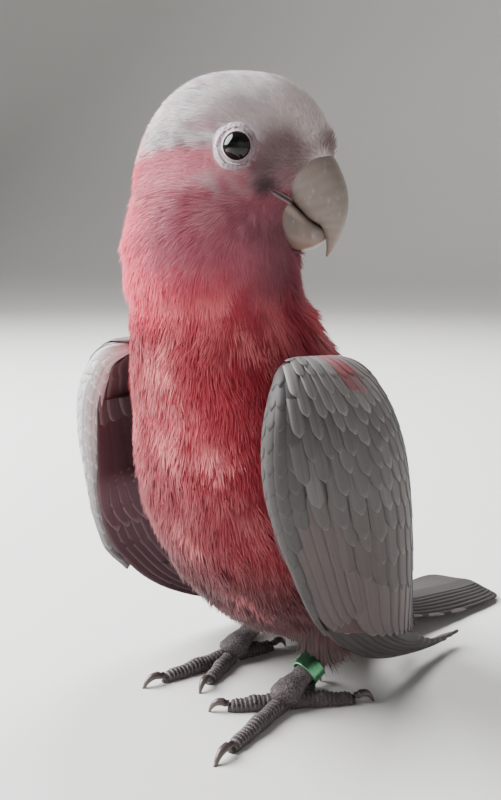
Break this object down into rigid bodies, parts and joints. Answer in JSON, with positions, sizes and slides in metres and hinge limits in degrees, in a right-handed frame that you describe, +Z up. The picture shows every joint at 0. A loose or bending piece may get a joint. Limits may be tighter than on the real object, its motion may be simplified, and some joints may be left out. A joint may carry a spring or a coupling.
{
  "type": "galah",
  "caption": "A still, life-size galah standing upright with its wings folded and its head turned back over its left shoulder, a green ring on the left shank.",
  "frame": {"origin": "On the floor, under the middle of the bird's outline box.", "axes": "+Z is up, the body faces -Y, and the bird's left side is +X. The head is turned about 120 degrees to the bird's left."},
  "size_m": [0.1174, 0.1744, 0.1999],
  "materials": {
    "plumage_rose": "soft matte feathers, deep rose pink with paler streaks",
    "plumage_crown": "soft matte feathers, pale pinkish grey to white",
    "plumage_grey": "matte feathers, mid grey with paler edges",
    "plumage_slate": "long feathers with a faint sheen, dark slate grey",
    "bill_horn": "horn, pale warm grey, satin",
    "eye_dark": "wet eye, near black, mirror gloss",
    "foot_scale": "ringed scaly skin, dark grey with pale ring edges",
    "claw_horn": "horn, blackish, smooth",
    "band_green": "anodised green, satin"
  },
  "bodies": {
    "root": {"bill_lower": "bill_horn", "bill_upper": "bill_horn", "claw_left_hallux": "claw_horn", "claw_left_inner": "claw_horn", "claw_left_middle": "claw_horn", "claw_left_outer": "claw_horn", "claw_right_hallux": "claw_horn", "claw_right_inner": "claw_horn", "claw_right_middle": "claw_horn", "claw_right_outer": "claw_horn", "eye_left": "eye_dark", "eye_right": "eye_dark", "head": "plumage_crown", "leg_band": "band_green", "neck": "plumage_rose", "shank_left": "foot_scale", "shank_right": "foot_scale", "tail": "plumage_slate", "thigh_left": "plumage_grey", "thigh_right": "plumage_grey", "toe_left_hallux": "foot_scale", "toe_left_inner": "foot_scale", "toe_left_middle": "foot_scale", "toe_left_outer": "foot_scale", "toe_right_hallux": "foot_scale", "toe_right_inner": "foot_scale", "toe_right_middle": "foot_scale", "toe_right_outer": "foot_scale", "trunk": "plumage_rose", "wing_left_coverts": "plumage_grey", "wing_left_primaries": "plumage_slate", "wing_left_secondaries": "plumage_grey", "wing_right_coverts": "plumage_grey", "wing_right_primaries": "plumage_slate", "wing_right_secondaries": "plumage_grey"}
  },
  "joints": []
}
